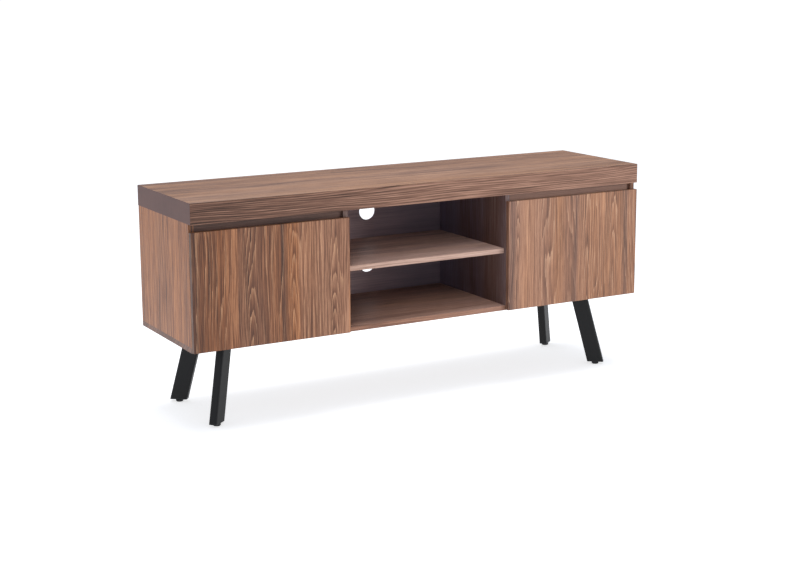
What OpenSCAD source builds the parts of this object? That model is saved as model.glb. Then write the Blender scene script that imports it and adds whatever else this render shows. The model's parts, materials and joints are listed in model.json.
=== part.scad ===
// TV stand: a thick hollow top on a board carcass with two doors, an open
// middle bay with one shelf, and four splayed steel legs.
// Millimetres. Origin on the floor under the middle of the stand: +X to the
// right seen from the front, +Y to the back, +Z up.

/* [Overall] */
// Width of the stand
width = 1500; // [1400:10:1600]
// Depth over the top, and over the closed doors
depth = 400; // [390:5:430]
// Height from the floor to the top surface
height = 650; // [630:5:700]
// Height of the carcass underside above the floor
leg_height = 234; // [220:2:250]

/* [Boards] */
// Thickness of the carcass boards and doors
board = 15; // [15:1:16]
// Thickness of the thin back panels
back_t = 3; // [3:1:4]
// Thickness of the glued edge bands
band_t = 1; // [0.6:0.2:1.2]

/* [Top] */
// Thickness of the hollow top
top_h = 59; // [54:1:62]
// Thickness of its upper and lower skins
skin_t = 5; // [4:1:6]
// Width of the rails inside the top
core_rail_w = 40; // [36:2:50]
// Width of the ribs inside the top
core_rib_w = 60; // [50:2:70]

/* [Bays] */
// Clear width of the open middle bay
bay_w = 534; // [500:2:560]
// Clear height under the middle shelf
lower_bay_h = 161; // [140:1:175]
// How far the middle shelf stands back from the carcass front
shelf_setback = 6; // [4:1:20]
// Radius of the two cable holes in the back
cable_hole_r = 27.5; // [25:0.5:30]

/* [Doors] */
// Height of the finger gap between a door and the top
finger_gap = 21; // [18:1:24]
// Space between a closed door and the carcass edges
door_clear = 1; // [1:0.1:1.5]
// How far a door passes the bay side face of its partition
door_inset = 3; // [2:1:5]
// Opening angle of the doors in degrees, 0 is closed
door_angle = 0; // [0:1:95]

/* [Finger rails] */
// Height of the rail behind each finger gap
finger_rail_h = 60; // [55:1:70]
// How far each rail stands back from the carcass front
finger_rail_setback = 8; // [6:1:12]

/* [Legs] */
// Width of the leg tube in its splay direction
leg_w = 50; // [44:1:54]
// Thickness of the leg tube
leg_t = 25; // [23:1:28]
// Wall of the leg tube
leg_wall = 2; // [1.5:0.1:2.5]
// Outer corner radius of the leg tube
leg_r = 5; // [4:0.5:6]
// Distance of a leg's top from the middle, along the width
leg_top_x = 613; // [600:1:630]
// Distance of a glide from the middle, along the width
leg_foot_x = 658; // [650:1:670]
// Half the spacing of the leg tops, along the depth
leg_top_y = 104.5; // [96:0.5:110]
// Half the spacing of the glides, along the depth
leg_foot_y = 140.5; // [134:0.5:146]
// Middle of the legs along the depth
leg_mid_y = 17.5; // [10:0.5:20]

/* [Hidden] */

eps = 0.01;
round_fn = 48;
small_fn = 24;

// Planes of the carcass
half_w = width / 2;
front_y = -depth / 2;
rear_y = depth / 2;
nail_head_t = 0.5;
carcass_front = front_y + board + door_clear;
carcass_back = rear_y - back_t - nail_head_t;
floor_z = leg_height + board;
top_z = height - top_h;
side_in = half_w - board;
part_in = bay_w / 2;
part_out = part_in + board;
side_mid = half_w - board / 2;
part_mid = part_in + board / 2;

// Middle shelf and cabinet shelves
shelf_z = floor_z + lower_bay_h;
cab_shelf_gap = 1;
cab_shelf_front_gap = 34;
cab_shelf_back_gap = 6;
cab_shelf_drop = 7;
cab_shelf_front = carcass_front + cab_shelf_front_gap;
cab_shelf_back = carcass_back - cab_shelf_back_gap;
cab_shelf_z = (floor_z + top_z - board) / 2 - cab_shelf_drop;

// Finger rails
rail_front = carcass_front + finger_rail_setback;
rail_mid_y = rail_front + board / 2;
rail_z = top_z - finger_rail_h;

// Doors
door_reveal = 2;
door_z0 = leg_height + door_reveal;
door_z1 = top_z - finger_gap;
door_in = part_in + door_inset;

// Cable holes
upper_hole_above_shelf = 84;
lower_hole_above_floor = 93;
upper_hole_z = shelf_z + board + upper_hole_above_shelf;
lower_hole_z = floor_z + lower_hole_above_floor;

// Knock-down fittings
cam_r = 7.5;
cam_depth = 12.5;
cam_inset = 34;
bolt_r = 2.5;
bolt_channel_r = 4;
bolt_bite = 11;
dowel_r = 4;
dowel_short = 10;
dowel_long = 20;
fit_from_edge = 50;
dowel_step = 32;
cam_ys = [carcass_front + fit_from_edge, carcass_back - fit_from_edge];
dowel_ys = [cam_ys[0] + dowel_step, cam_ys[1] - dowel_step];
shelf_cam_x = part_in - cam_inset;
shelf_mid_z = shelf_z + board / 2;
rail_cam_xs = [side_in - cam_inset, part_out + cam_inset];
rail_cam_z = top_z - finger_rail_h / 2;
rail_dowel_drop = 18;
rail_dowel_z = rail_cam_z - rail_dowel_drop;

// Shelf pins
pin_r = 2.5;
pin_bite = 8;
pin_out = 9;
pin_collar_r = 3.75;
pin_collar_t = 0.8;
pin_inset = 45;
pin_ys = [cab_shelf_front + pin_inset, cab_shelf_back - pin_inset];
pin_z = cab_shelf_z - pin_r;
pin_row_step = 32;

// Back panel nails
nail_r = 0.8;
nail_head_r = 2;
nail_len = 20;
nail_pitch = 115;
nail_end_gap = 20;
nail_joint_off = 4;
bottom_nail_pitch = 150;
back_reveal = 1;
back_joint = 0.5;

// Concealed hinges: x and y run from the axis that a door turns about
pivot_in = 3;
pivot_back = 1;
hinge_inset = 90;
hinge_zs = [door_z0 + hinge_inset, door_z1 - hinge_inset];
door_back = board - pivot_back;
side_face = board - pivot_in;
cup_r = 17.5;
cup_from_edge = 22.5;
cup_x = cup_from_edge - pivot_in;
cup_deep = 11.6;
cup_wall = 1;
flange_t = 0.5;
flange_rim = 1;
cup_screw_off = 9.5;
cup_screw_x = cup_x + cup_screw_off;
cup_screw_z = 22.5;
ear_r = 6;
plate_setback = 37;
plate_y = board + plate_setback;
plate_t = 4;
plate_reach = [-20, 28];
plate_half_w = 8;
plate_screw_z = 16;
plate_screw_head_r = 4.5;
plate_screw_r = 2.5;
plate_screw_len = 12;
arm_z = 6.5;
arm_y0 = 20;
arm_y1 = 84;
arm_rise = 18;
arm_top = side_face + arm_rise;
arm_slack = 0.5;
arm_end_gap = 2;
arm_screw_ys = [plate_y - 12, plate_y + 20];
arm_screw_r = 3;
arm_screw_gap = 0.2;
arm_screw_hole = 1;
arm_screw_slot = [4.4, 0.8, 0.4];
link_z = 4.5;
link_x = [24, 28];
hook_x = 11;
hook_y = [7, 11];
link_back = 56;
link_travel_per_degree = 0.28;

// Legs
leg_plate_t = 3;
leg_plate_size = [110, 76];
leg_plate_r = 8;
leg_screw_at = [44, 28];
cap_t = 3;
cap_insert = 22;
cap_bore_extra = 12;
glide_gap = 1;
glide_h = 7;
glide_r = 11;
stem_r = 4;
stem_fit = 0.06;
stem_top = 30;
tube_z0 = glide_h + glide_gap + cap_t;
tube_z1 = leg_height - leg_plate_t;
splay_x = leg_foot_x - leg_top_x;
splay_y = leg_foot_y - leg_top_y;
splay = sqrt(splay_x * splay_x + splay_y * splay_y);
leg_turn = atan2(splay_y, splay_x);
leg_tilt = atan2(splay, tube_z1 - tube_z0);

// Colours
walnut = [0.55, 0.40, 0.32];
walnut_dark = [0.38, 0.28, 0.24];
walnut_light = [0.72, 0.57, 0.48];
chipboard = [0.76, 0.66, 0.50];
hardboard = [0.42, 0.29, 0.22];
beech = [0.85, 0.72, 0.52];
zinc = [0.72, 0.72, 0.70];
black_steel = [0.10, 0.10, 0.10];
black_plastic = [0.05, 0.05, 0.05];
clear_rubber = [0.80, 0.80, 0.80];

// Helpers

module box(x, y, z) {
    translate([x[0], y[0], z[0]]) cube([x[1] - x[0], y[1] - y[0], z[1] - z[0]]);
}

// A round bar from the origin along +X, or along -X for a negative length
module bar_x(r, length, fn = small_fn) {
    rotate([0, length > 0 ? 90 : -90, 0]) cylinder(r = r, h = abs(length), $fn = fn);
}

// A round bar from the origin along +Y, or along -Y for a negative length
module bar_y(r, length, fn = small_fn) {
    rotate([length > 0 ? -90 : 90, 0, 0]) cylinder(r = r, h = abs(length), $fn = fn);
}

// A round bar from the origin along +Z
module bar_z(r, length, fn = small_fn) {
    cylinder(r = r, h = length, $fn = fn);
}

// A bar of rounded rectangular section along +Z, centred on the axis
module rounded_bar(w, t, r, z0, z1) {
    box([-w / 2 + r, w / 2 - r], [-t / 2, t / 2], [z0, z1]);
    box([-w / 2, w / 2], [-t / 2 + r, t / 2 - r], [z0, z1]);
    for (x = [-1, 1], y = [-1, 1])
        translate([x * (w / 2 - r), y * (t / 2 - r), z0]) bar_z(r, z1 - z0);
}

module right_side() {
    mirror([1, 0, 0]) children();
}

// Fastener positions, used for the fasteners and for their holes

// Cams in the uprights: at the face that looks into a cabinet
module upright_cams(mid, into, sides) {
    for (s = sides, y = cam_ys, z = [floor_z + cam_inset, top_z - cam_inset])
        translate([s * (mid - into * board / 2), y, z]) bar_x(cam_r, s * into * cam_depth, round_fn);
}

module upright_bolts(mid, sides, r, bite) {
    for (s = sides, y = cam_ys) {
        translate([s * mid, y, floor_z - bite]) bar_z(r, bite + cam_inset);
        translate([s * mid, y, top_z - cam_inset]) bar_z(r, bite + cam_inset);
    }
}

module upright_dowels(mid, sides) {
    for (s = sides, y = dowel_ys) {
        translate([s * mid, y, floor_z - dowel_short]) bar_z(dowel_r, dowel_short + dowel_long);
        translate([s * mid, y, top_z - dowel_long]) bar_z(dowel_r, dowel_short + dowel_long);
    }
}

module shelf_cams() {
    for (s = [-1, 1], y = cam_ys)
        translate([s * shelf_cam_x, y, shelf_z]) bar_z(cam_r, cam_depth, round_fn);
}

module shelf_bolts(r) {
    for (s = [-1, 1], y = cam_ys)
        translate([s * shelf_cam_x, y, shelf_mid_z]) bar_x(r, s * (cam_inset + bolt_bite));
}

module shelf_dowels() {
    for (s = [-1, 1], y = dowel_ys)
        translate([s * (part_in - dowel_long), y, shelf_mid_z])
        bar_x(dowel_r, s * (dowel_long + dowel_short));
}

module rail_cams(sides) {
    for (s = sides, x = rail_cam_xs)
        translate([s * x, rail_front + board, rail_cam_z]) bar_y(cam_r, -cam_depth, round_fn);
}

module rail_bolts(r, sides) {
    reach = cam_inset + bolt_bite;
    for (s = sides) {
        translate([s * rail_cam_xs[0], rail_mid_y, rail_cam_z]) bar_x(r, s * reach);
        translate([s * rail_cam_xs[1], rail_mid_y, rail_cam_z]) bar_x(r, -s * reach);
    }
}

module rail_dowels(sides) {
    reach = dowel_long + dowel_short;
    for (s = sides) {
        translate([s * (side_in - dowel_long), rail_mid_y, rail_dowel_z]) bar_x(dowel_r, s * reach);
        translate([s * (part_out + dowel_long), rail_mid_y, rail_dowel_z]) bar_x(dowel_r, -s * reach);
    }
}

// Rows of blind holes for the shelf pins
module pin_holes(s) {
    for (y = pin_ys, k = [-1, 0, 1]) {
        translate([s * (side_in - eps), y, pin_z + k * pin_row_step])
        bar_x(pin_r, s * (pin_bite + eps));
        translate([s * (part_out + eps), y, pin_z + k * pin_row_step])
        bar_x(pin_r, -s * (pin_bite + eps));
    }
}

// Hollow top

module top_upper_skin() {
    color(walnut)
    box([-half_w + band_t, half_w - band_t], [front_y + band_t, rear_y - band_t],
        [height - skin_t, height]);
}

// All holes that the uprights' dowels and bolts need in the top
module top_holes() {
    for (mid = [side_mid, part_mid]) {
        upright_bolts(mid, [-1, 1], bolt_r, bolt_bite);
        upright_dowels(mid, [-1, 1]);
    }
}

module top_lower_skin() {
    color(walnut_dark)
    difference() {
        box([-half_w + band_t, half_w - band_t], [front_y + band_t, rear_y - band_t],
            [top_z, top_z + skin_t]);
        top_holes();
    }
}

core_z = [top_z + skin_t, height - skin_t];
core_y = [front_y + band_t + core_rail_w, rear_y - band_t - core_rail_w];

module top_front_rail() {
    color(chipboard)
    box([-half_w + band_t, half_w - band_t], [front_y + band_t, core_y[0]], core_z);
}

module top_rear_rail() {
    color(chipboard)
    box([-half_w + band_t, half_w - band_t], [core_y[1], rear_y - band_t], core_z);
}

module top_end_rail(s) {
    x0 = half_w - band_t - core_rail_w;
    color(chipboard)
    difference() {
        box(s > 0 ? [x0, half_w - band_t] : [-half_w + band_t, -x0], core_y, core_z);
        top_holes();
    }
}

module top_left_end_rail() {
    top_end_rail(-1);
}

module top_right_end_rail() {
    top_end_rail(1);
}

module top_ribs() {
    color(chipboard)
    difference() {
        for (mid = [-part_mid, 0, part_mid])
            box([mid - core_rib_w / 2, mid + core_rib_w / 2], core_y, core_z);
        top_holes();
    }
}

module top_front_band() {
    color(walnut_dark)
    box([-half_w, half_w], [front_y, front_y + band_t], [top_z, height]);
}

module top_rear_band() {
    color(walnut_dark)
    box([-half_w, half_w], [rear_y - band_t, rear_y], [top_z, height]);
}

module top_left_band() {
    color(walnut_dark)
    box([-half_w, -half_w + band_t], [front_y + band_t, rear_y - band_t], [top_z, height]);
}

module top_right_band() {
    right_side() top_left_band();
}

// Carcass

module side_panel(s) {
    color(walnut)
    difference() {
        box(s > 0 ? [side_in, half_w] : [-half_w, -side_in], [carcass_front + band_t, carcass_back],
            [floor_z, top_z]);
        upright_cams(side_mid, 1, [s]);
        upright_bolts(side_mid, [s], bolt_channel_r, bolt_bite);
        upright_dowels(side_mid, [s]);
        rail_bolts(bolt_r, [s]);
        rail_dowels([s]);
        pin_holes(s);
    }
}

module left_side_panel() {
    side_panel(-1);
}

module right_side_panel() {
    side_panel(1);
}

module partition(s) {
    color(walnut)
    difference() {
        box(s > 0 ? [part_in, part_out] : [-part_out, -part_in], [carcass_front + band_t, carcass_back],
            [floor_z, top_z]);
        upright_cams(part_mid, -1, [s]);
        upright_bolts(part_mid, [s], bolt_channel_r, bolt_bite);
        upright_dowels(part_mid, [s]);
        rail_bolts(bolt_r, [s]);
        rail_dowels([s]);
        shelf_bolts(bolt_r);
        shelf_dowels();
        pin_holes(s);
    }
}

module left_partition() {
    partition(-1);
}

module right_partition() {
    partition(1);
}

module bottom_panel() {
    color(walnut)
    difference() {
        box([-half_w, half_w], [carcass_front + band_t, carcass_back], [leg_height, floor_z]);
        for (mid = [side_mid, part_mid]) {
            upright_bolts(mid, [-1, 1], bolt_r, bolt_bite);
            upright_dowels(mid, [-1, 1]);
        }
    }
}

band_y = [carcass_front, carcass_front + band_t];

module side_panel_bands() {
    color(walnut)
    for (x = [[-half_w, -side_in], [side_in, half_w]])
        box(x, band_y, [floor_z, top_z]);
}

module partition_bands() {
    color(walnut)
    for (x = [[-part_out, -part_in], [part_in, part_out]])
        box(x, band_y, [floor_z, top_z]);
}

module bottom_front_band() {
    color(walnut)
    box([-half_w, half_w], band_y, [leg_height, floor_z]);
}

module middle_shelf() {
    color(walnut)
    difference() {
        box([-part_in, part_in], [carcass_front + shelf_setback + band_t, carcass_back],
            [shelf_z, shelf_z + board]);
        shelf_cams();
        shelf_bolts(bolt_channel_r);
        shelf_dowels();
    }
}

module middle_shelf_band() {
    y0 = carcass_front + shelf_setback;
    color(walnut_light)
    box([-part_in, part_in], [y0, y0 + band_t], [shelf_z, shelf_z + board]);
}

module left_cabinet_shelf() {
    color(walnut)
    box([-side_in + cab_shelf_gap, -part_out - cab_shelf_gap], [cab_shelf_front, cab_shelf_back],
        [cab_shelf_z, cab_shelf_z + board]);
}

module right_cabinet_shelf() {
    right_side() left_cabinet_shelf();
}

module left_finger_rail() {
    color(walnut_dark)
    difference() {
        box([-side_in, -part_out], [rail_front, rail_front + board], [rail_z, top_z]);
        rail_cams([-1]);
        rail_bolts(bolt_channel_r, [-1]);
        rail_dowels([-1]);
    }
}

module right_finger_rail() {
    right_side() left_finger_rail();
}

// Thin back

back_y = [carcass_back, carcass_back + back_t];
back_z = [leg_height + back_reveal, top_z];

module left_back_panel() {
    color(hardboard)
    box([-half_w + back_reveal, -part_mid - back_joint], back_y, back_z);
}

module right_back_panel() {
    right_side() left_back_panel();
}

module middle_back_panel() {
    color(hardboard)
    difference() {
        box([-part_mid + back_joint, part_mid - back_joint], back_y, back_z);
        for (z = [lower_hole_z, upper_hole_z])
            translate([0, carcass_back - eps, z]) bar_y(cable_hole_r, back_t + 2 * eps, round_fn);
    }
}

module nail() {
    bar_y(nail_r, -nail_len);
    bar_y(nail_head_r, nail_head_t);
}

// Nails along the uprights, on both sides of each joint, and along the bottom
module back_panel_nails() {
    rows = floor((top_z - floor_z) / nail_pitch);
    row_step = (top_z - floor_z - 2 * nail_end_gap) / rows;
    bottom_count = floor((half_w - nail_pitch) / bottom_nail_pitch);
    color(zinc)
    translate([0, carcass_back + back_t, 0]) {
        for (s = [-1, 1], k = [0 : rows])
            for (x = [side_mid, part_mid - nail_joint_off, part_mid + nail_joint_off])
                translate([s * x, 0, floor_z + nail_end_gap + k * row_step]) nail();
        for (k = [-bottom_count : bottom_count])
            translate([k * bottom_nail_pitch, 0, leg_height + board / 2]) nail();
    }
}

// Fittings of the carcass

// A shelf pin: a shank in the board, a thin collar and the part that carries
module shelf_pin(s) {
    translate([-s * pin_bite, 0, 0]) bar_x(pin_r, s * (pin_bite + pin_out));
    bar_x(pin_collar_r, s * pin_collar_t);
}

module shelf_pins() {
    color(zinc)
    for (s = [-1, 1], y = pin_ys) {
        translate([s * side_in, y, pin_z]) shelf_pin(-s);
        translate([s * part_out, y, pin_z]) shelf_pin(s);
    }
}

cam_slot_deep = 3;
cam_slot_w = 1.6;
cam_slot_l = 10;

module cam_slot() {
    for (turn = [0, 90])
        rotate([0, 0, turn])
        box([-cam_slot_l / 2, cam_slot_l / 2], [-cam_slot_w / 2, cam_slot_w / 2], [-eps, cam_slot_deep]);
}

// The cross slots that a screwdriver turns each cam by
module cam_slots() {
    for (s = [-1, 1], y = cam_ys, z = [floor_z + cam_inset, top_z - cam_inset]) {
        translate([s * side_in, y, z]) rotate([0, s * 90, 0]) cam_slot();
        translate([s * part_out, y, z]) rotate([0, -s * 90, 0]) cam_slot();
    }
    for (s = [-1, 1], y = cam_ys)
        translate([s * shelf_cam_x, y, shelf_z]) cam_slot();
    for (s = [-1, 1], x = rail_cam_xs)
        translate([s * x, rail_front + board, rail_cam_z]) rotate([90, 0, 0]) cam_slot();
}

module cam_locks() {
    color(zinc)
    difference() {
        union() {
            upright_cams(side_mid, 1, [-1, 1]);
            upright_cams(part_mid, -1, [-1, 1]);
            shelf_cams();
            rail_cams([-1, 1]);
        }
        cam_slots();
        all_bolts();
    }
}

module all_bolts() {
    for (mid = [side_mid, part_mid])
        upright_bolts(mid, [-1, 1], bolt_r, bolt_bite);
    shelf_bolts(bolt_r);
    rail_bolts(bolt_r, [-1, 1]);
}

module cam_bolts() {
    color(zinc) all_bolts();
}

module wooden_dowels() {
    color(beech) {
        for (mid = [side_mid, part_mid])
            upright_dowels(mid, [-1, 1]);
        shelf_dowels();
        rail_dowels([-1, 1]);
    }
}

// Doors, drawn for the left side and mirrored for the right

// Places the left door's children at the door's opening angle
module at_door_angle() {
    translate([-half_w + pivot_in, front_y + pivot_back, 0])
    rotate([0, 0, -door_angle])
    translate([half_w - pivot_in, -front_y - pivot_back, 0])
    children();
}

// Places children on both hinges of the left door, from the turning axis
module at_hinges() {
    for (z = hinge_zs)
        translate([-half_w + pivot_in, front_y + pivot_back, z]) children();
}

module cup_body(r, y0, y1) {
    translate([cup_x, y0, 0]) bar_y(r, y1 - y0, round_fn);
}

module left_door_panel() {
    color(walnut)
    at_door_angle()
    difference() {
        box([-half_w + band_t, -door_in - band_t], [front_y, front_y + board],
            [door_z0 + band_t, door_z1 - band_t]);
        at_hinges() cup_body(cup_r, door_back - cup_deep, door_back + eps);
    }
}

module left_door_band() {
    color(walnut)
    at_door_angle()
    difference() {
        box([-half_w, -door_in], [front_y, front_y + board], [door_z0, door_z1]);
        box([-half_w + band_t, -door_in - band_t], [front_y - eps, front_y + board + eps],
            [door_z0 + band_t, door_z1 - band_t]);
    }
}

module cup_flange() {
    translate([0, door_back, 0]) {
        translate([cup_x, 0, 0]) bar_y(cup_r + flange_rim, flange_t, round_fn);
        box([cup_x, cup_screw_x + ear_r], [0, flange_t], [-cup_screw_z, cup_screw_z]);
        for (z = [-1, 1])
            translate([cup_screw_x, 0, z * cup_screw_z]) bar_y(ear_r, flange_t, round_fn);
    }
}

module left_hinge_cups() {
    color(zinc)
    at_door_angle()
    at_hinges()
    difference() {
        union() {
            cup_body(cup_r, door_back - cup_deep, door_back);
            cup_flange();
        }
        cup_body(cup_r - cup_wall, door_back - cup_deep + cup_wall, door_back + flange_t + eps);
    }
}

screw_head_h = 1.8;
cup_screw_r = 1.75;
cup_screw_head_r = 3.6;
cup_screw_len = 9;

module left_cup_screws() {
    color(zinc)
    at_door_angle()
    at_hinges()
    for (z = [-1, 1])
        translate([cup_screw_x, door_back + flange_t, z * cup_screw_z]) {
            bar_y(cup_screw_head_r, screw_head_h);
            bar_y(cup_screw_r, -cup_screw_len);
        }
}

// A hook-shaped link that runs out of each arm as the door opens
module left_hinge_links() {
    color(zinc)
    translate([0, -link_travel_per_degree * door_angle, 0])
    at_hinges() {
        box(link_x, [hook_y[0], link_back], [-link_z, link_z]);
        box([hook_x, link_x[1]], hook_y, [-link_z, link_z]);
    }
}

bumper_r = 4;
bumper_t = 0.7;
bumper_in = 12;

module left_door_bumpers() {
    color(clear_rubber)
    at_door_angle()
    for (z = [door_z0 + bumper_in, door_z1 - bumper_in])
        translate([-door_in - band_t - bumper_r - 1, front_y + board, z]) bar_y(bumper_r, bumper_t);
}

module right_door_panel() {
    right_side() left_door_panel();
}

module right_door_band() {
    right_side() left_door_band();
}

module right_hinge_cups() {
    right_side() left_hinge_cups();
}

module right_cup_screws() {
    right_side() left_cup_screws();
}

module right_hinge_links() {
    right_side() left_hinge_links();
}

module right_door_bumpers() {
    right_side() left_door_bumpers();
}

// Hinge parts on the side panels

wing_r = 7;
wing_t = 2;

module hinge_plate() {
    box([side_face, side_face + plate_t], [plate_y + plate_reach[0], plate_y + plate_reach[1]],
        [-plate_half_w, plate_half_w]);
    box([side_face, side_face + wing_t], [plate_y - wing_r, plate_y + wing_r],
        [-plate_screw_z, plate_screw_z]);
    for (z = [-1, 1])
        translate([side_face, plate_y, z * plate_screw_z]) bar_x(wing_r, wing_t);
}

module both_sides() {
    children();
    right_side() children();
}

module hinge_mounting_plates() {
    color(zinc) both_sides() at_hinges() hinge_plate();
}

module hinge_plate_screws() {
    color(zinc)
    both_sides() at_hinges()
    for (z = [-1, 1])
        translate([side_face + wing_t, plate_y, z * plate_screw_z]) {
            bar_x(plate_screw_head_r, screw_head_h);
            bar_x(plate_screw_r, -plate_screw_len);
        }
}

// The channel-shaped arm: a base, two cheeks and a web round the link
module hinge_arm() {
    channel_x = [link_x[0] - arm_slack, link_x[1] + arm_slack];
    channel_z = [-link_z - arm_slack, link_z + arm_slack];
    difference() {
        box([side_face + plate_t, arm_top], [arm_y0, arm_y1], [-arm_z, arm_z]);
        box(channel_x, [arm_y0 - eps, link_back + arm_end_gap], channel_z);
        for (y = arm_screw_ys)
            translate([arm_top - arm_screw_hole, y, 0])
            bar_x(arm_screw_r + arm_screw_gap, arm_screw_hole + eps);
    }
    for (y = arm_screw_ys)
        translate([arm_top - arm_screw_gap, y, 0]) arm_screw();
}

// A slotted screw head sunk in the arm, with its face at the origin
module arm_screw() {
    slot = arm_screw_slot;
    difference() {
        bar_x(arm_screw_r, -arm_screw_hole);
        box([-slot[2], eps], [-slot[0] / 2, slot[0] / 2], [-slot[1] / 2, slot[1] / 2]);
    }
}

module hinge_arms() {
    color(zinc) both_sides() at_hinges() hinge_arm();
}

// Legs

// Places children at one leg corner; sx and sy are -1 or 1
module corner(sx, sy) {
    translate([0, leg_mid_y, 0])
    mirror([sx < 0 ? 1 : 0, 0, 0])
    mirror([0, sy < 0 ? 1 : 0, 0])
    children();
}

// A long bar along the leg's own axis, with its width in the splay direction
module leg_axis_bar(w, t, r) {
    over = 40;
    translate([leg_top_x, leg_top_y, tube_z1])
    rotate([0, 0, leg_turn])
    rotate([0, -leg_tilt, 0])
    rounded_bar(w, t, r, -leg_height - over, over);
}

// Keeps what is between two heights
module between(z0, z1) {
    reach = 150;
    intersection() {
        box([leg_top_x - reach, leg_foot_x + reach], [leg_top_y - reach, leg_foot_y + reach], [z0, z1]);
        children();
    }
}

module leg_tube(sx, sy) {
    color(black_steel)
    corner(sx, sy)
    between(tube_z0, tube_z1)
    difference() {
        leg_axis_bar(leg_w, leg_t, leg_r);
        leg_axis_bar(leg_w - 2 * leg_wall, leg_t - 2 * leg_wall, leg_r - leg_wall);
    }
}

module front_left_leg_tube() {
    leg_tube(-1, -1);
}

module front_right_leg_tube() {
    leg_tube(1, -1);
}

module rear_left_leg_tube() {
    leg_tube(-1, 1);
}

module rear_right_leg_tube() {
    leg_tube(1, 1);
}

screw_hole_r = 2.4;

module leg_plate() {
    translate([leg_top_x, leg_top_y, 0])
    difference() {
        rounded_bar(leg_plate_size[0], leg_plate_size[1], leg_plate_r, tube_z1, leg_height);
        for (x = [-1, 1], y = [-1, 1])
            translate([x * leg_screw_at[0], y * leg_screw_at[1], tube_z1 - eps])
            bar_z(screw_hole_r, leg_plate_t + 2 * eps);
    }
}

module all_corners() {
    for (sx = [-1, 1], sy = [-1, 1]) corner(sx, sy) children();
}

module leg_plates() {
    color(black_steel) all_corners() leg_plate();
}

leg_screw_r = 2;
leg_screw_head_r = 4;
leg_screw_head_h = 2.4;
leg_screw_len = 12;

module leg_screws() {
    color(black_steel)
    all_corners()
    for (x = [-1, 1], y = [-1, 1])
        translate([leg_top_x + x * leg_screw_at[0], leg_top_y + y * leg_screw_at[1], tube_z1]) {
            bar_z(leg_screw_r, leg_screw_len);
            translate([0, 0, -leg_screw_head_h]) bar_z(leg_screw_head_r, leg_screw_head_h);
        }
}

// A plug in the tube's foot, with a bore for the glide's stem
module leg_end_cap() {
    in = 2 * leg_wall;
    difference() {
        union() {
            between(tube_z0 - cap_t, tube_z0) leg_axis_bar(leg_w, leg_t, leg_r);
            between(tube_z0, tube_z0 + cap_insert)
            leg_axis_bar(leg_w - in, leg_t - in, leg_r - leg_wall);
        }
        translate([leg_foot_x, leg_foot_y, 0])
        bar_z(stem_r + stem_fit, stem_top + cap_bore_extra, round_fn);
    }
}

module leg_end_caps() {
    color(black_plastic) all_corners() leg_end_cap();
}

// A threaded stem with a round pad
module glide(sx, sy) {
    chamfer = 1.5;
    color(black_plastic)
    corner(sx, sy)
    translate([leg_foot_x, leg_foot_y, 0])
    rotate_extrude($fn = round_fn)
    polygon([
        [0, 0], [glide_r - chamfer, 0], [glide_r, chamfer], [glide_r, glide_h - chamfer],
        [glide_r - chamfer, glide_h], [stem_r, glide_h], [stem_r, stem_top], [0, stem_top]
    ]);
}

module front_left_glide() {
    glide(-1, -1);
}

module front_right_glide() {
    glide(1, -1);
}

module rear_left_glide() {
    glide(-1, 1);
}

module rear_right_glide() {
    glide(1, 1);
}

top_upper_skin();
top_lower_skin();
top_front_rail();
top_rear_rail();
top_left_end_rail();
top_right_end_rail();
top_ribs();
top_front_band();
top_rear_band();
top_left_band();
top_right_band();
left_side_panel();
right_side_panel();
left_partition();
right_partition();
bottom_panel();
side_panel_bands();
partition_bands();
bottom_front_band();
middle_shelf();
middle_shelf_band();
left_cabinet_shelf();
right_cabinet_shelf();
left_finger_rail();
right_finger_rail();
left_back_panel();
middle_back_panel();
right_back_panel();
back_panel_nails();
shelf_pins();
cam_locks();
cam_bolts();
wooden_dowels();
left_door_panel();
right_door_panel();
left_door_band();
right_door_band();
left_hinge_cups();
right_hinge_cups();
left_cup_screws();
right_cup_screws();
left_hinge_links();
right_hinge_links();
left_door_bumpers();
right_door_bumpers();
hinge_mounting_plates();
hinge_plate_screws();
hinge_arms();
front_left_leg_tube();
front_right_leg_tube();
rear_left_leg_tube();
rear_right_leg_tube();
leg_plates();
leg_screws();
leg_end_caps();
front_left_glide();
front_right_glide();
rear_left_glide();
rear_right_glide();
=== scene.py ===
"""Looks for a walnut-laminate TV stand: materials, softened edges, light and camera."""
from collections import namedtuple
import json
import math

import bpy
from mathutils import Matrix, Vector


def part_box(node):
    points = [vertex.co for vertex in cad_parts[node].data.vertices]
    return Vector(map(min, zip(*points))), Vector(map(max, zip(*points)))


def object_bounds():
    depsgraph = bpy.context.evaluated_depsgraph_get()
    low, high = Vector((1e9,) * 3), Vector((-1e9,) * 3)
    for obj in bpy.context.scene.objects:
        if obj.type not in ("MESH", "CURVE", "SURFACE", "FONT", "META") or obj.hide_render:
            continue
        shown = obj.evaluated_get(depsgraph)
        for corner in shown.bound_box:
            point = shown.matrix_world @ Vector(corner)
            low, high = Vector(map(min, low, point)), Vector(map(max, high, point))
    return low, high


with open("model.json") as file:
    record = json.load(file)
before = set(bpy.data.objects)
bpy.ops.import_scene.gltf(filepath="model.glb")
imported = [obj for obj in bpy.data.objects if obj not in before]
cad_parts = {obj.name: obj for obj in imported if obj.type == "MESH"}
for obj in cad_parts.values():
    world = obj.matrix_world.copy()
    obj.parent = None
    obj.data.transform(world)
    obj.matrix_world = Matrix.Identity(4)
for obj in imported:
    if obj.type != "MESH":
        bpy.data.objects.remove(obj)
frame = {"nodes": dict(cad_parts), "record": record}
cad_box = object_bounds()
nodes = frame["nodes"]

MM = 0.001

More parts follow.
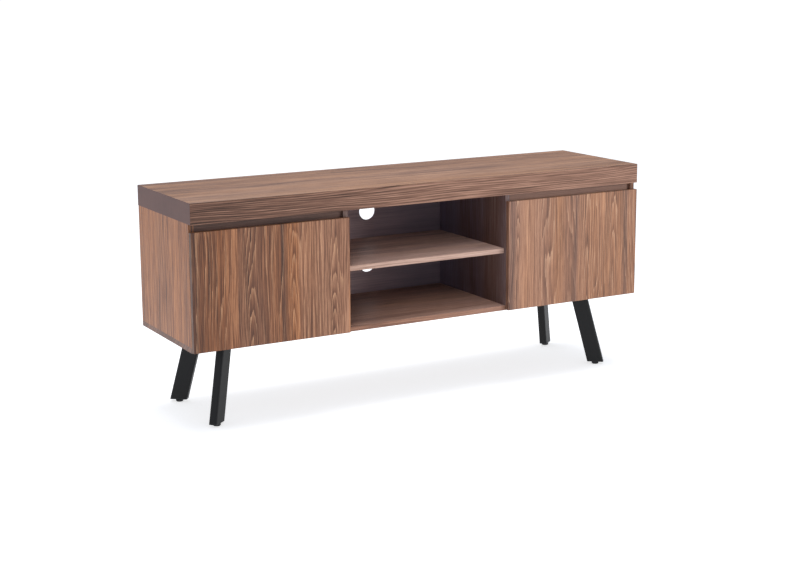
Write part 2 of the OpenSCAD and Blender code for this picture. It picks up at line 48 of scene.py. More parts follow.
# Camera: where it stands in metres, how it is turned in degrees, and its lens in millimetres
CAMERA_PLACE = Vector((-2.2672, -4.0092, 1.3076))
CAMERA_YAW = 29.412
CAMERA_PITCH = 10.887
CAMERA_ROLL = -0.307
CAMERA_LENS = 70.21
CAMERA_SENSOR = 36
CAMERA_SHIFT = -0.05

# Studio: the floor, the backdrop that the camera sees, and the light from all round
FLOOR_SIZE = 60
FLOOR_ALBEDO = 0.8
FLOOR_MOTTLE = 0.01
FLOOR_GLOW = 0.65
FLOOR_TINT = (1.0, 0.996, 0.984, 1.0)
BACKDROP = 1.05
AMBIENT = 0.56
AMBIENT_TINT = (0.89, 0.96, 1.10)

# Rounding of the boards' banded edges, and of the loose shelves
BAND_ROUNDING = 0.45 * MM
SHELF_ROUNDING = 0.7 * MM
WELD_DISTANCE = 0.005 * MM
ROUNDED_ABOVE = math.radians(40)


# ---------------------------------------------------------------- node graphs

# Every finished material, by its name, which is that of its slot in the record
finished = {}


class Graph:
    """One material's nodes, written as an expression."""

    def __init__(self, name):
        self.name = name
        self.material = bpy.data.materials.new(name)
        self.material.use_nodes = True
        self.tree = self.material.node_tree
        self.tree.nodes.clear()
        self.shader = self.node("ShaderNodeBsdfPrincipled")
        out = self.node("ShaderNodeOutputMaterial")
        self.tree.links.new(self.shader.outputs[0], out.inputs[0])

    def node(self, kind, **settings):
        made = self.tree.nodes.new(kind)
        for key, value in settings.items():
            setattr(made, key, value)
        return made

    def put(self, value, socket):
        if isinstance(value, bpy.types.NodeSocket):
            self.tree.links.new(value, socket)
        else:
            socket.default_value = value

    def math(self, operation, a, b=0.0, clamp=False):
        made = self.node("ShaderNodeMath", operation=operation, use_clamp=clamp)
        for value, socket in zip((a, b), made.inputs):
            self.put(value, socket)
        return made.outputs[0]

    def add(self, a, b):
        return self.math("ADD", a, b)

    def times(self, a, b):
        return self.math("MULTIPLY", a, b)

    def swing(self, noise, amount):
        """Noise that lies around a half, as plus or minus half of an amount."""
        return self.times(self.add(noise, -0.5), amount)

    def place(self):
        """The object's own coordinates, which are the frame's, as x, y, z."""
        coords = self.node("ShaderNodeTexCoord")
        parts = self.node("ShaderNodeSeparateXYZ")
        self.put(coords.outputs["Object"], parts.inputs[0])
        return parts.outputs[0], parts.outputs[1], parts.outputs[2]

    def face_normal(self):
        """The face's direction as x, y, z, without bump or smoothing."""
        facing = self.node("ShaderNodeNewGeometry")
        parts = self.node("ShaderNodeSeparateXYZ")
        self.put(facing.outputs["True Normal"], parts.inputs[0])
        return parts.outputs[0], parts.outputs[1], parts.outputs[2]

    def vector(self, x, y, z=0.0):
        made = self.node("ShaderNodeCombineXYZ")
        for value, socket in zip((x, y, z), made.inputs):
            self.put(value, socket)
        return made.outputs[0]

    def noise(self, where, scale=1.0, detail=2.0, roughness=0.5):
        made = self.node("ShaderNodeTexNoise")
        self.put(where, made.inputs["Vector"])
        made.inputs["Scale"].default_value = scale
        made.inputs["Detail"].default_value = detail
        made.inputs["Roughness"].default_value = roughness
        return made.outputs["Fac"]

    def grain(self, a, b, per_metre, seed, detail=2.0, roughness=0.5):
        """Noise over two coordinates, with so many features per metre along each."""
        where = self.vector(self.times(a, per_metre[0]), self.times(b, per_metre[1]), seed)
        return self.noise(where, detail=detail, roughness=roughness)

    def remap(self, value, low, high, to_low=0.0, to_high=1.0, smooth=False):
        made = self.node("ShaderNodeMapRange")
        made.interpolation_type = "SMOOTHSTEP" if smooth else "LINEAR"
        for v, socket in zip((value, low, high, to_low, to_high), made.inputs):
            self.put(v, socket)
        return made.outputs[0]

    def blend(self, share, a, b, kind="MIX"):
        made = self.node("ShaderNodeMix", data_type="RGBA", blend_type=kind)
        for v, socket in zip((share, a, b), (made.inputs[0], made.inputs[6], made.inputs[7])):
            self.put(v, socket)
        return made.outputs[2]

    def three_tones(self, shade, light, middle, dark):
        """Colour by darkness, from light at 0 over middle to dark at 1."""
        shade = self.math("ADD", shade, 0.0, clamp=True)
        colour = self.blend(self.remap(shade, 0.0, 0.5), light, middle)
        return self.blend(self.remap(shade, 0.5, 1.0), colour, dark)

    def late_wood(self, saw, sharpness, edge):
        """The dark side of each growth ring: it rises slowly and ends abruptly."""
        return self.times(self.math("POWER", saw, sharpness), self.remap(saw, edge, 1.0, 1.0, 0.0))

    def bump(self, height, strength, distance):
        made = self.node("ShaderNodeBump")
        made.inputs["Strength"].default_value = strength
        made.inputs["Distance"].default_value = distance
        self.put(height, made.inputs["Height"])
        self.put(made.outputs[0], self.shader.inputs["Normal"])

    def finish(self, colour, roughness, metallic=0.0, specular=0.5):
        """Sets the shader and files the material under its name."""
        self.put(colour, self.shader.inputs["Base Color"])
        self.put(roughness, self.shader.inputs["Roughness"])
        self.shader.inputs["Metallic"].default_value = metallic
        self.shader.inputs["Specular IOR Level"].default_value = specular
        finished[self.name] = self.material


def rgb(red, green, blue):
    """A colour given as it looks on screen, 0 to 255, in the linear form that shaders use."""
    def linear(c):
        c /= 255
        return c / 12.92 if c <= 0.04045 else ((c + 0.055) / 1.055) ** 2.4
    return (linear(red), linear(green), linear(blue), 1.0)


# ---------------------------------------------------------------- walnut laminate

# The print's layers of noise: features per metre across and along the grain, and how they are made
Layer = namedtuple("Layer", "across along seed detail roughness")
SWAY = Layer(6.0, 4.0, seed=0.0, detail=2.0, roughness=0.5)
RING_FIELD = Layer(15.0, 1.0, seed=3.0, detail=1.0, roughness=0.3)
RING_JITTER = Layer(300.0, 9.0, seed=7.0, detail=2.0, roughness=0.5)
RING_CLEARNESS = Layer(14.0, 2.5, seed=13.0, detail=2.0, roughness=0.5)
TONE = Layer(24.0, 0.8, seed=17.0, detail=3.0, roughness=0.55)
STREAK = Layer(400.0, 5.0, seed=19.0, detail=2.0, roughness=0.6)
FIBRE = Layer(520.0, 16.0, seed=0.0, detail=3.0, roughness=0.7)
FINE_FIBRE = Layer(1500.0, 50.0, seed=2.0, detail=2.0, roughness=0.6)
PORE = Layer(1700.0, 60.0, seed=5.0, detail=1.0, roughness=0.5)
WARMTH = Layer(12.0, 0.8, seed=29.0, detail=2.0, roughness=0.5)

SWAY_WIDTH = 16 * MM
SEED_SHIFT = 1.7
STRAIGHT_RINGS_PER_METRE = 70.0
ARCHES_PER_METRE = 13.0
ARCH_TOP = 0.62

# How much each layer darkens the wood, from 0, the lightest, to 1, the darkest
BASE_DARKNESS = 0.36
STREAK_DARKNESS = 1.6
FIBRE_DARKNESS = 0.8
FINE_DARKNESS = 0.35
RING_DARKNESS = 0.8
PORE_DARKNESS = 0.4

COOL_CAST = rgb(232, 232, 244)
WARM_CAST = rgb(255, 238, 212)

# Strips of tone on a board, some printed streaks and some painted shade: metres from where they start,
# extra darkness, and extra warmth
# The left door's strips are printed streaks over a painted shade that darkens the door toward its left
# edge
LEFT_DOOR_TONES_AND_SHADE = [
    (0.0, 0.44, 0.0), (0.015, 0.36, 0.2), (0.04, 0.28, 0.4), (0.082, 0.24, 0.4), (0.095, 0.10, 0.3),
    (0.132, 0.03, 0.3), (0.138, 0.42, -0.2), (0.146, 0.22, -0.2), (0.20, 0.22, -0.3),
    (0.261, 0.12, 0.1), (0.27, 0.50, -0.5), (0.28, 0.20, 0.1), (0.288, 0.02, 0.4),
    (0.315, -0.04, 0.4), (0.322, 0.0, -0.3), (0.40, -0.06, -0.5), (0.474, -0.09, -0.45),
    (0.48, -0.3, 0.0)]
RIGHT_DOOR_TONES = [
    (0.0, 0.02, -0.2), (0.013, 0.25, -0.45), (0.027, -0.02, -0.1), (0.09, -0.05, 0.1),
    (0.14, 0.05, -0.1), (0.18, 0.0, 0.2), (0.235, 0.06, -0.2), (0.25, 0.28, -0.45),
    (0.262, 0.0, 0.1), (0.33, 0.02, 0.3), (0.42, 0.05, 0.1), (0.44, 0.25, -0.3), (0.45, 0.03, 0.2),
    (0.48, 0.06, 0.1)]
# Painted shade: the partition turns to a cooler, bluish grey toward the rear of the bay
PARTITION_PAINTED_SHADE = [
    (0.01, -0.06, 0.5), (0.10, 0.04, 0.2), (0.20, 0.0, -0.3), (0.26, -0.12, -0.5), (0.37, -0.36, -0.5)]
# Painted shade: the bay's shelf and floor are darker toward the left, where the left partition shades
# them
BAY_PAINTED_SHADE = [(0.0, 0.34, 0.2), (0.17, 0.12, 0.1), (0.37, 0.0, 0.0), (0.54, -0.06, -0.2)]
# Painted shade: the finger rails are darker along the left door and lighter toward the right end
RAIL_PAINTED_SHADE = [(0.0, 0.42, 0.0), (0.30, 0.45, 0.0), (0.48, 0.3, 0.0), (1.02, -0.1, 0.0), (1.5, -0.15, 0.0)]

# Arches of the doors' figure: metres from the door's left edge, and half their width
LEFT_DOOR_ARCHES = [(0.30, 0.026), (0.17, 0.040), (0.425, 0.034)]
RIGHT_DOOR_ARCHES = [(0.287, 0.036), (0.39, 0.030), (0.03, 0.020)]


class Wood(Graph):
    """A walnut print with its grain along one axis, the same on a board's faces and its edges."""

    def __init__(self, name, along, seed):
        super().__init__(name)
        self.along = along
        self.seed = seed
        self.axes = dict(zip("XYZ", self.place()))
        crossing = [self.axes[axis] for axis in "XYZ" if axis != along]
        self.across = self.add(self.add(*crossing), seed)
        self.run = self.add(self.axes[along], SEED_SHIFT * seed)
        self.sway = self.swing(self.layer(SWAY, self.across), SWAY_WIDTH)
        self.bent = self.add(self.across, self.sway)
        self.tone = self.layer(TONE)
        self.fibre = self.layer(FIBRE)
        self.fine = self.layer(FINE_FIBRE, self.across)
        self.pore = self.remap(self.layer(PORE, self.across), 0.66, 0.73)

    def layer(self, kind, across=None):
        """One of the print's layers, over the grain's bent lines unless told otherwise."""
        across = self.bent if across is None else across
        per_metre = (kind.across, kind.along)
        return self.grain(across, self.run, per_metre, self.seed + kind.seed, kind.detail, kind.roughness)

    def metres_from(self, axis, start):
        """Metres from start along an axis, swaying with the grain where the axis crosses it."""
        place = self.add(self.axes[axis], -start)
        return place if axis == self.along else self.add(place, self.sway)


def growth_rings(g, rings, stretch):
    """A rising count of rings: contour lines of a slow field make arches, eyes and straight bands."""
    field = g.layer(RING_FIELD._replace(along=stretch))
    jitter = g.layer(RING_JITTER, g.across)
    count = g.add(g.times(field, rings), g.swing(jitter, 0.6))
    return g.add(count, g.times(g.across, STRAIGHT_RINGS_PER_METRE))


def nested_arches(g, count, clear, sideways, arches):
    """Adds stacks of nested arches to the rings, and makes the rings clear there."""
    depth = g.add(g.times(g.run, -1.0), ARCH_TOP + SEED_SHIFT * g.seed)
    for centre, half_width in arches:
        heart = g.math("ABSOLUTE", g.add(sideways, -centre))
        heart = g.remap(heart, 0.0, half_width, 1.0, 0.0, smooth=True)
        count = g.add(count, g.times(heart, g.times(depth, ARCHES_PER_METRE)))
        clear = g.math("MAXIMUM", clear, heart)
    return count, clear


def ring_figure(g, rings, stretch, tones, arches):
    """Where each place lies in its growth ring, from 0 to 1, and how clearly the rings show."""
    count = growth_rings(g, rings, stretch)
    clear = g.remap(g.layer(RING_CLEARNESS), 0.42, 0.62, 0.15, 0.75, smooth=True)
    if arches:
        count, clear = nested_arches(g, count, clear, g.metres_from(*tones[:2]), arches)
    return g.math("FRACT", count), clear


def wood_shade(g, ring, bands, lines, figure):
    """Darkness from 0, the lightest wood, to 1, the darkest."""
    shade = g.add(g.swing(g.tone, bands), BASE_DARKNESS)
    shade = g.add(shade, g.swing(g.layer(STREAK), STREAK_DARKNESS * lines))
    shade = g.add(shade, g.swing(g.fibre, FIBRE_DARKNESS * lines))
    shade = g.add(shade, g.swing(g.fine, FINE_DARKNESS * lines))
    return g.add(shade, g.times(ring, RING_DARKNESS * figure))


def tone_and_shade_strips(g, axis, start, stops):
    """Extra darkness and warmth along an axis, from (metres from start, darkness, warmth) stops: printed
    streaks and painted shade.
    """
    first, last = stops[0][0], stops[-1][0]
    ramp = g.node("ShaderNodeValToRGB")
    g.put(g.remap(g.metres_from(axis, start), first, last), ramp.inputs[0])
    marks = ramp.color_ramp.elements
    for where, darkness, warmth in stops:
        ends = {first: marks[0], last: marks[-1]}
        mark = ends[where] if where in ends else marks.new((where - first) / (last - first))
        mark.color = (0.5 + darkness, 0.5 + warmth, 0.0, 1.0)
    parts = g.node("ShaderNodeSeparateColor")
    g.put(ramp.outputs[0], parts.inputs[0])
    return g.add(parts.outputs[0], -0.5), g.add(parts.outputs[1], -0.5)


def pale_threads(g, colour, saw, clear, glint):
    """Light threads on the early side of each ring, broken up by the fibres."""
    thread = g.times(g.remap(saw, 0.0, 0.3, 1.0, 0.0), clear)
    return g.blend(g.times(thread, g.remap(g.fibre, 0.35, 0.6, 0.95, 0.2)), colour, glint)


def tint_rim(g, colour, axis, tint):
    """Tints the edges of a board that is thin along an axis."""
    facing = g.math("ABSOLUTE", g.face_normal()["XYZ".index(axis)])
    return g.blend(g.math("LESS_THAN", facing, 0.5), colour, tint, "MULTIPLY")


def tint_outer_face(g, colour, tint):
    """Tints the face that looks out of the stand's end, less so at the right-hand end."""
    facing_right = g.face_normal()[0]
    outward = g.math("GREATER_THAN", g.times(g.axes["X"], facing_right), 0.2)
    strength = g.times(outward, g.remap(facing_right, -1.0, 1.0, 1.0, 0.4))
    return g.blend(strength, colour, tint, "MULTIPLY")


def back_underside(g, colour, backing, dark):
    """Lays a plain, mottled backing sheet on the underside."""
    mottle = g.blend(g.add(g.times(g.fine, 0.5), g.times(g.tone, 0.5)), backing, dark)
    return g.blend(g.math("LESS_THAN", g.face_normal()[2], -0.5), colour, mottle)


def walnut(name, along, light, middle, dark, seed=0.0, rings=8.0, figure=0.5, stretch=1.0, bands=1.0,
           lines=1.0, cast=0.5, tones=None, arches=(), glint=None, roughness=0.42, backing=None,
           rim=None, outside=None):
    """Printed walnut laminate with its grain along one axis.

    rings is how many growth rings the figure crosses, figure their strength, and stretch how fast
    they change along the grain. bands, lines and cast are the strength of the slow tones, of the
    streaks and of the grey and orange casts. tones is (axis, start, stops) of strips of tone, and
    arches lists (centre, half width) along the same axis. glint is the colour of pale threads,
    backing that of the underside's sheet. rim is (axis, tint) for the board's edges, and outside
    the tint of its outer face."""
    g = Wood(name, along, seed)
    saw, clear = ring_figure(g, rings, stretch, tones, arches)
    ring = g.times(g.late_wood(saw, 3.0, 0.9), clear)
    shade = wood_shade(g, ring, bands, lines, figure)
    warmth = g.remap(g.layer(WARMTH), 0.35, 0.65, -0.5, 0.5)
    # The strips add printed streaks, and painted shade on the left door, the partition, the bay and the
    # rail
    if tones:
        extra_shade, extra_warmth = tone_and_shade_strips(g, *tones)
        shade = g.add(shade, extra_shade)
        warmth = g.add(g.times(warmth, 0.4), extra_warmth)

    tint = g.blend(g.remap(warmth, -0.5, 0.5), COOL_CAST, WARM_CAST)
    colour = g.blend(cast, g.three_tones(shade, light, middle, dark), tint, "MULTIPLY")
    if glint:
        colour = pale_threads(g, colour, saw, clear, glint)
    colour = g.blend(g.times(g.pore, PORE_DARKNESS), colour, dark)
    if rim:
        colour = tint_rim(g, colour, *rim)
    if outside:
        colour = tint_outer_face(g, colour, outside)
    if backing:
        colour = back_underside(g, colour, backing, dark)

    g.bump(g.add(g.times(g.fibre, 0.6), g.times(g.pore, -0.8)), 0.25, 0.12 * MM)
    gloss = g.remap(g.fibre, 0.3, 0.7, roughness - 0.05, roughness + 0.08)
    g.finish(colour, gloss, specular=0.35)


# ---------------------------------------------------------------- other board faces

def ribbed_band(name, light, middle, dark, seed):
    """The thick top's front band: brushed walnut with strong dark lines along its length."""
    g = Graph(name)
    x, y, z = g.place()
    sway = g.swing(g.grain(x, z, (2.2, 8.0), seed), 9 * MM)
    level = g.add(g.add(z, g.times(y, 0.3)), sway)
    field = g.grain(x, level, (1.8, 16.0), seed + 2.0, detail=1.0, roughness=0.4)
    saw = g.math("FRACT", g.add(g.times(field, 6.0), g.times(level, 155.0)))
    late_wood = g.late_wood(saw, 1.8, 0.85)
    line = g.grain(x, level, (5.0, 260.0), seed, detail=3.0, roughness=0.65)
    fine = g.grain(x, level, (14.0, 1400.0), seed + 9.0)
    shade = g.remap(line, 0.3, 0.7, -0.05, 0.7)
    shade = g.add(shade, g.times(late_wood, 0.6))
    shade = g.add(shade, g.swing(fine, 0.5))
    # Painted shade: the band is darker toward the left end and lighter toward the right
    shade = g.add(shade, g.remap(x, cad_box[0][0], 0.1, 0.20, -0.10, smooth=True))
    groove = g.add(line, g.times(late_wood, 0.7))
    g.bump(g.times(groove, -1.0), 0.5, 0.5 * MM)
    gloss = g.remap(line, 0.3, 0.7, 0.5, 0.62)
    g.finish(g.three_tones(shade, light, middle, dark), gloss, specular=0.3)


def end_cap(name, colour, lighter, seed):
    """The thick top's plain dark end band, with a faint upright grain."""
    g = Graph(name)
    x, y, z = g.place()
    cloud = g.grain(y, z, (9.0, 14.0), seed, detail=3.0)
    fibre = g.grain(y, z, (500.0, 22.0), seed, detail=3.0, roughness=0.6)
    share = g.add(g.times(cloud, 0.5), g.times(fibre, 0.5))
    g.bump(fibre, 0.2, 0.1 * MM)
    g.finish(g.blend(g.remap(share, 0.35, 0.65), colour, lighter), 0.5, specular=0.35)


def chipboard():
    """Raw particle board, as seen inside the hollow top and in drilled holes."""
    g = Graph("chipboard")
    x, y, z = g.place()
    cells = g.node("ShaderNodeTexVoronoi", feature="F1")
    g.put(g.vector(x, y, g.times(z, 2.2)), cells.inputs["Vector"])
    cells.inputs["Scale"].default_value = 420.0
    chip = g.node("ShaderNodeSeparateColor")
    g.put(cells.outputs["Color"], chip.inputs[0])
    grit = g.noise(g.vector(x, y, z), scale=900.0, detail=3.0)
    colour = g.blend(chip.outputs[0], rgb(205, 178, 136), rgb(150, 118, 80))
    colour = g.blend(g.times(grit, 0.5), colour, rgb(118, 90, 60))
    g.bump(chip.outputs[1], 0.5, 0.3 * MM)
    g.finish(colour, 0.85, specular=0.2)


def printed_back(name, seed):
    """Thin hardboard: walnut print on the face with painted shade toward its right-hand end, bare brown
    board on the rear.
    """
    g = Graph(name)
    x, y, z = g.place()
    run = g.add(x, seed)
    tone = g.grain(run, z, (0.9, 16.0), seed, detail=3.0, roughness=0.6)
    fibre = g.grain(run, z, (7.0, 330.0), seed, detail=3.0, roughness=0.6)
    share = g.add(g.times(tone, 0.6), g.times(fibre, 0.4))
    face = g.blend(g.remap(share, 0.35, 0.65), rgb(206, 178, 176), rgb(130, 110, 113))
    # Painted shade: deeper, cooler tones toward the right-hand end of the bay, where its back corner lies
    # in shade
    face = g.blend(g.remap(x, -0.15, 0.2, 0.0, 0.7, smooth=True), face, rgb(92, 88, 104))
    fuzz = g.noise(g.vector(x, g.times(y, 3.0), z), scale=260.0, detail=4.0, roughness=0.7)
    blotch = g.noise(g.vector(x, y, z), scale=7.0, detail=3.0)
    bare = g.blend(g.add(g.times(fuzz, 0.6), g.times(blotch, 0.4)), rgb(100, 66, 45), rgb(158, 114, 82))
    rear = g.math("GREATER_THAN", g.face_normal()[1], 0.5)
    g.bump(g.add(g.times(fuzz, 0.7), g.times(fibre, 0.3)), 0.3, 0.2 * MM)
    g.finish(g.blend(rear, face, bare), g.remap(rear, 0.0, 1.0, 0.6, 0.85), specular=0.3)


# ---------------------------------------------------------------- fittings and legs

def plated_steel(name, colour, roughness, seed=0.0):
    """Pressed steel with a thin bright plating: faint rolling marks and a few dull patches."""
    g = Graph(name)
    x, y, z = g.place()
    marks = g.noise(g.vector(g.times(x, 90.0), g.times(y, 90.0), g.times(z, 1400.0)))
    patch = g.noise(g.vector(g.add(x, seed), y, z), scale=130.0, detail=3.0)
    darker = tuple(c * 0.72 for c in colour[:3]) + (1.0,)
    g.bump(marks, 0.12, 0.05 * MM)
    g.finish(g.blend(g.remap(patch, 0.4, 0.7, 0.0, 0.6), colour, darker),
             g.remap(patch, 0.3, 0.7, roughness, roughness + 0.16), metallic=1.0)


def cast_zinc():
    """Die-cast cam housings: dull grey with a grainy skin."""
    g = Graph("zinc_casting")
    skin = g.noise(g.vector(*g.place()), scale=1500.0, detail=3.0)
    g.bump(skin, 0.3, 0.08 * MM)
    g.finish(g.blend(skin, rgb(150, 151, 153), rgb(108, 109, 112)), 0.48, metallic=0.8)


def beech():
    """Bare beech dowels with short flecks along Z."""
    g = Graph("beech")
    x, y, z = g.place()
    fleck = g.noise(g.vector(g.times(x, 900.0), g.times(y, 900.0), g.times(z, 120.0)))
    g.bump(fleck, 0.3, 0.1 * MM)
    g.finish(g.blend(g.remap(fleck, 0.4, 0.62), rgb(226, 198, 158), rgb(188, 148, 104)), 0.7)


def soft_bumper():
    """Clear soft bumpers, slightly milky."""
    g = Graph("clear_rubber")
    haze = g.noise(g.vector(*g.place()), scale=400.0)
    g.shader.inputs["Transmission Weight"].default_value = 0.6
    g.shader.inputs["IOR"].default_value = 1.49
    g.finish(g.blend(haze, rgb(236, 236, 232), rgb(214, 214, 210)), 0.25)


def powder_coat(name, colour, lighter):
    """Satin black powder coat with its fine orange-peel skin."""
    g = Graph(name)
    where = g.vector(*g.place())
    peel = g.noise(where, scale=900.0, detail=3.0, roughness=0.6)
    dust = g.noise(where, scale=55.0, detail=4.0, roughness=0.6)
    rub = g.remap(dust, 0.55, 0.75, 0.0, 0.35)
    g.bump(peel, 0.22, 0.12 * MM)
    g.finish(g.blend(rub, colour, lighter), g.remap(peel, 0.3, 0.7, 0.42, 0.54), specular=0.3)


def moulded_plastic(name, colour, lighter):
    """Black moulded plastic with a spark-eroded grain."""
    g = Graph(name)
    skin = g.noise(g.vector(*g.place()), scale=2200.0)
    g.bump(skin, 0.35, 0.06 * MM)
    g.finish(g.blend(skin, colour, lighter), g.remap(skin, 0.3, 0.7, 0.5, 0.65), specular=0.4)


# ---------------------------------------------------------------- the record's material slots

def top_materials():
    walnut("walnut_top", "X", rgb(173, 131, 100), rgb(126, 90, 66), rgb(72, 49, 38), seed=1.3,
           rings=4.0, figure=0.35, stretch=0.6, bands=1.2, lines=1.4, roughness=0.52)
    walnut("walnut_lower_skin", "X", rgb(172, 134, 114), rgb(132, 95, 77), rgb(74, 50, 42), seed=2.1)
    chipboard()
    ribbed_band("walnut_top_edge", rgb(168, 127, 105), rgb(114, 79, 62), rgb(50, 31, 22), seed=4.0)
    end_cap("walnut_top_end", rgb(84, 54, 48), rgb(98, 66, 58), seed=5.0)


def carcass_materials():
    # The side panel's rim tint darkens its edges: painted shade, for the dark gap at its front edge
    # beside the finger rail
    walnut("walnut_side", "Z", rgb(183, 144, 120), rgb(137, 98, 78), rgb(78, 55, 45), seed=6.4,
           rings=4.0, figure=0.4, stretch=0.6, lines=1.7, cast=0.3, rim=("X", rgb(196, 172, 142)),
           outside=rgb(253, 214, 160))
    # The partition's bluish palette and its strips are partly painted cool shade of the bay's interior
    walnut("walnut_partition", "Z", rgb(126, 116, 128), rgb(98, 75, 70), rgb(54, 46, 48), seed=7.7,
           bands=0.5, lines=0.6, cast=1.0, tones=("Y", cad_box[0][1], PARTITION_PAINTED_SHADE))
    # The rail's strips are painted shade, darker toward the left end
    walnut("walnut_rail", "X", rgb(158, 122, 104), rgb(122, 90, 76), rgb(60, 42, 36), seed=11.0,
           figure=0.2, bands=0.5, lines=0.5, tones=("X", cad_box[0][0], RAIL_PAINTED_SHADE))
    printed_back("walnut_back", seed=12.0)


def shelf_materials():
    # The bay's strips are painted shade on the shelf and on the bay's floor, darker toward the left
    bay_painted_shade = ("X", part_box("left_door_band")[1][0], BAY_PAINTED_SHADE)
    walnut("walnut_bottom", "X", rgb(182, 150, 134), rgb(142, 112, 99), rgb(84, 64, 58), seed=8.2,
           stretch=0.7, cast=0.7, tones=bay_painted_shade, backing=rgb(92, 84, 80),
           rim=("Z", rgb(228, 208, 192)))
    walnut("walnut_shelf", "X", rgb(210, 180, 166), rgb(172, 144, 133), rgb(112, 89, 82), seed=9.1,
           figure=0.3, stretch=0.7, bands=1.4, lines=1.4, tones=bay_painted_shade)
    walnut("walnut_shelf_edge", "X", rgb(208, 176, 158), rgb(174, 141, 124), rgb(128, 97, 82),
           seed=10.4, figure=0.2, bands=0.6, cast=0.3)


def door_materials():
    # The left door's strips hold printed streaks and a painted shade, darker toward its left edge
    walnut("walnut_door_left", "Z", rgb(192, 140, 102), rgb(129, 84, 56), rgb(70, 42, 29), seed=13.2,
           rings=9.0, figure=0.6, stretch=1.6, bands=0.5, cast=1.0, glint=rgb(200, 154, 116),
           tones=("X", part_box("left_door_band")[0][0], LEFT_DOOR_TONES_AND_SHADE), arches=LEFT_DOOR_ARCHES)
    walnut("walnut_door_right", "Z", rgb(190, 144, 113), rgb(136, 97, 75), rgb(68, 47, 38), seed=15.6,
           rings=9.0, figure=0.6, stretch=2.0, bands=0.5, lines=0.85, cast=1.0,
           glint=rgb(204, 164, 132), tones=("X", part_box("right_door_band")[0][0], RIGHT_DOOR_TONES),
           arches=RIGHT_DOOR_ARCHES)


def fitting_materials():
    plated_steel("zinc_steel", rgb(196, 197, 194), 0.3)
    plated_steel("nickel_steel", rgb(206, 203, 196), 0.2, seed=3.0)
    cast_zinc()
    beech()
    soft_bumper()


def leg_materials():
    powder_coat("black_metal", rgb(9, 9, 10), rgb(16, 16, 17))
    plated_steel("black_screw", rgb(64, 64, 66), 0.38, seed=6.0)
    moulded_plastic("black_plastic", rgb(20, 20, 21), rgb(32, 32, 33))


def paint_nodes():
    """Gives every CAD node its slot's material."""
    for part in frame["record"]["subparts"]:
        piece = nodes[part["node"]]
        piece.data.materials.clear()
        piece.data.materials.append(finished[part["material_slot"]])


# ---------------------------------------------------------------- edges

def soften(node, width):
    """Rounds a CAD node's sharp edges slightly, as edge banding does."""
    piece = nodes[node]
    weld = piece.modifiers.new("weld", "WELD")
    weld.merge_threshold = WELD_DISTANCE
    bevel = piece.modifiers.new("bevel", "BEVEL")
    bevel.width = width
    bevel.segments = 2
    bevel.limit_method = "ANGLE"
    bevel.angle_limit = ROUNDED_ABOVE
    bevel.harden_normals = True
    bevel.use_clamp_overlap = True


def soften_edges():
    for node in ("top_front_band", "top_rear_band", "top_left_band", "top_right_band",
                 "left_door_band", "right_door_band", "middle_shelf_band", "bottom_front_band",
                 "side_panel_bands", "partition_bands"):
        soften(node, BAND_ROUNDING)
    for node in ("left_cabinet_shelf", "right_cabinet_shelf"):
        soften(node, SHELF_ROUNDING)


# ---------------------------------------------------------------- studio

def grey(level):
    return (level, level, level, 1.0)


def make_floor():
    """A pale floor that glows a little, so that it reads as white with a soft neutral shadow."""
    bpy.ops.mesh.primitive_plane_add(size=FLOOR_SIZE, location=(0, 0, 0))
    floor = bpy.context.object
    floor.name = "floor"
    g = Graph("studio_floor")
    cloud = g.noise(g.vector(*g.place()), scale=0.7)
    colour = g.blend(cloud, grey(FLOOR_ALBEDO - FLOOR_MOTTLE), grey(FLOOR_ALBEDO + FLOOR_MOTTLE))
    g.shader.inputs["Emission Color"].default_value = FLOOR_TINT
    g.shader.inputs["Emission Strength"].default_value = FLOOR_GLOW
    g.finish(colour, 0.9, specular=0.0)
    floor.data.materials.append(g.material)
    return floor


def light_group(name, pieces, state):
    """A collection for a lamp: it leaves these pieces unlit (EXCLUDE) or lights only them (INCLUDE)."""
    group = bpy.data.collections.new(name)
    for piece in pieces:
        group.objects.link(piece)
    for link in group.collection_objects:
        link.light_linking.link_state = state
    return group


def make_light(name, place, target, size, power, group=None):
    """An area light, its size as (width, height); group limits what it lights."""
    data = bpy.data.lights.new(name, "AREA")
    data.shape = "RECTANGLE"
    data.size, data.size_y = size
    data.energy = power
    lamp = bpy.data.objects.new(name, data)
    lamp.location = place
    direction = Vector(target) - Vector(place)
    lamp.rotation_euler = direction.to_track_quat("-Z", "Y").to_euler()
    bpy.context.collection.objects.link(lamp)
    if group:
        lamp.light_linking.receiver_collection = group


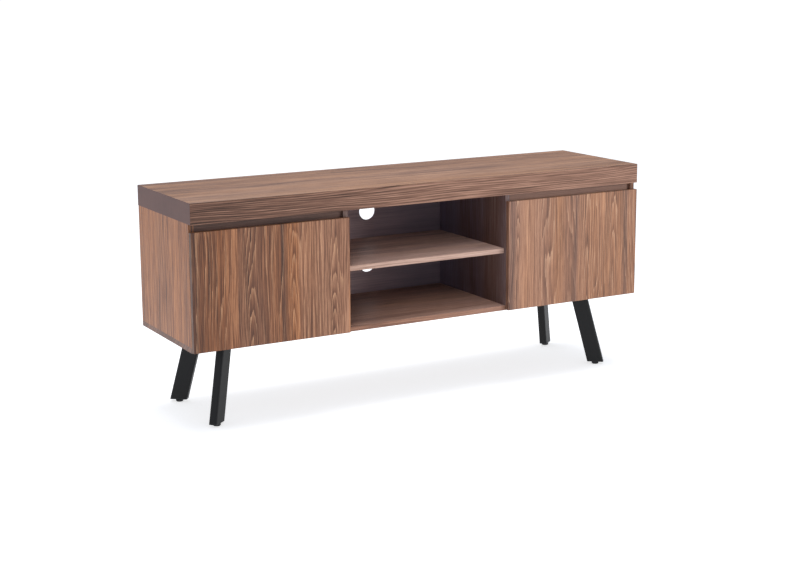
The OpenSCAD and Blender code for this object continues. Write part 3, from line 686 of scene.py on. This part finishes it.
def make_lights(floor):
    """A key light on the fronts, one from above, a weak one on the left end, and one into the bay."""
    bay = [nodes["middle_shelf"], nodes["bottom_panel"]]
    not_floor = light_group("all_but_floor", [floor], "EXCLUDE")
    fronts = light_group("fronts", [floor] + bay, "EXCLUDE")
    shelves = light_group("open_bay", bay, "INCLUDE")
    make_light("front_right", (3.4, -3.6, 1.7), target=(0, -0.2, 0.4), size=(1.5, 1.5), power=110,
               group=fronts)
    make_light("left", (-3.2, 0.5, 1.1), target=(-0.7, 0, 0.4), size=(1.4, 1.4), power=8,
               group=not_floor)
    make_light("bay", (-1.0, -1.9, 2.1), target=(0.12, -0.18, 0.42), size=(1.7, 1.7), power=52,
               group=shelves)
    make_light("overhead", (0.1, 0.1, 3.2), target=(0, 0, 0.3), size=(2.6, 1.4), power=60)


def make_world():
    """A white backdrop that lights the object less than it shows."""
    world = bpy.data.worlds.new("studio")
    world.use_nodes = True
    tree = world.node_tree
    path = tree.nodes.new("ShaderNodeLightPath")
    seen = tree.nodes.new("ShaderNodeMix")
    seen.data_type = "RGBA"
    seen.inputs[6].default_value = tuple(AMBIENT * c for c in AMBIENT_TINT) + (1.0,)
    seen.inputs[7].default_value = grey(BACKDROP)
    tree.links.new(path.outputs["Is Camera Ray"], seen.inputs[0])
    tree.links.new(seen.outputs[2], tree.nodes["Background"].inputs[0])
    bpy.context.scene.world = world


def camera_axes():
    """The camera's right, up and backward directions as a rotation matrix."""
    yaw, pitch, roll = (math.radians(v) for v in (CAMERA_YAW, CAMERA_PITCH, CAMERA_ROLL))
    forward = Vector((math.sin(yaw) * math.cos(pitch), math.cos(yaw) * math.cos(pitch), -math.sin(pitch)))
    right = Vector((math.cos(yaw), -math.sin(yaw), 0))
    up = right.cross(forward)
    turned_right = right * math.cos(roll) + up * math.sin(roll)
    turned_up = up * math.cos(roll) - right * math.sin(roll)
    return Matrix((turned_right, turned_up, -forward)).transposed().to_4x4()


def make_camera():
    data = bpy.data.cameras.new("camera")
    data.lens = CAMERA_LENS
    data.sensor_width = CAMERA_SENSOR
    data.shift_y = CAMERA_SHIFT
    camera = bpy.data.objects.new("camera", data)
    camera.matrix_world = Matrix.Translation(CAMERA_PLACE) @ camera_axes()
    bpy.context.collection.objects.link(camera)
    bpy.context.scene.camera = camera


# ---------------------------------------------------------------- scene

make_camera()
bpy.context.scene.view_settings.view_transform = "Standard"
top_materials()
carcass_materials()
shelf_materials()
door_materials()
fitting_materials()
leg_materials()
paint_nodes()
soften_edges()
make_world()
make_lights(make_floor())
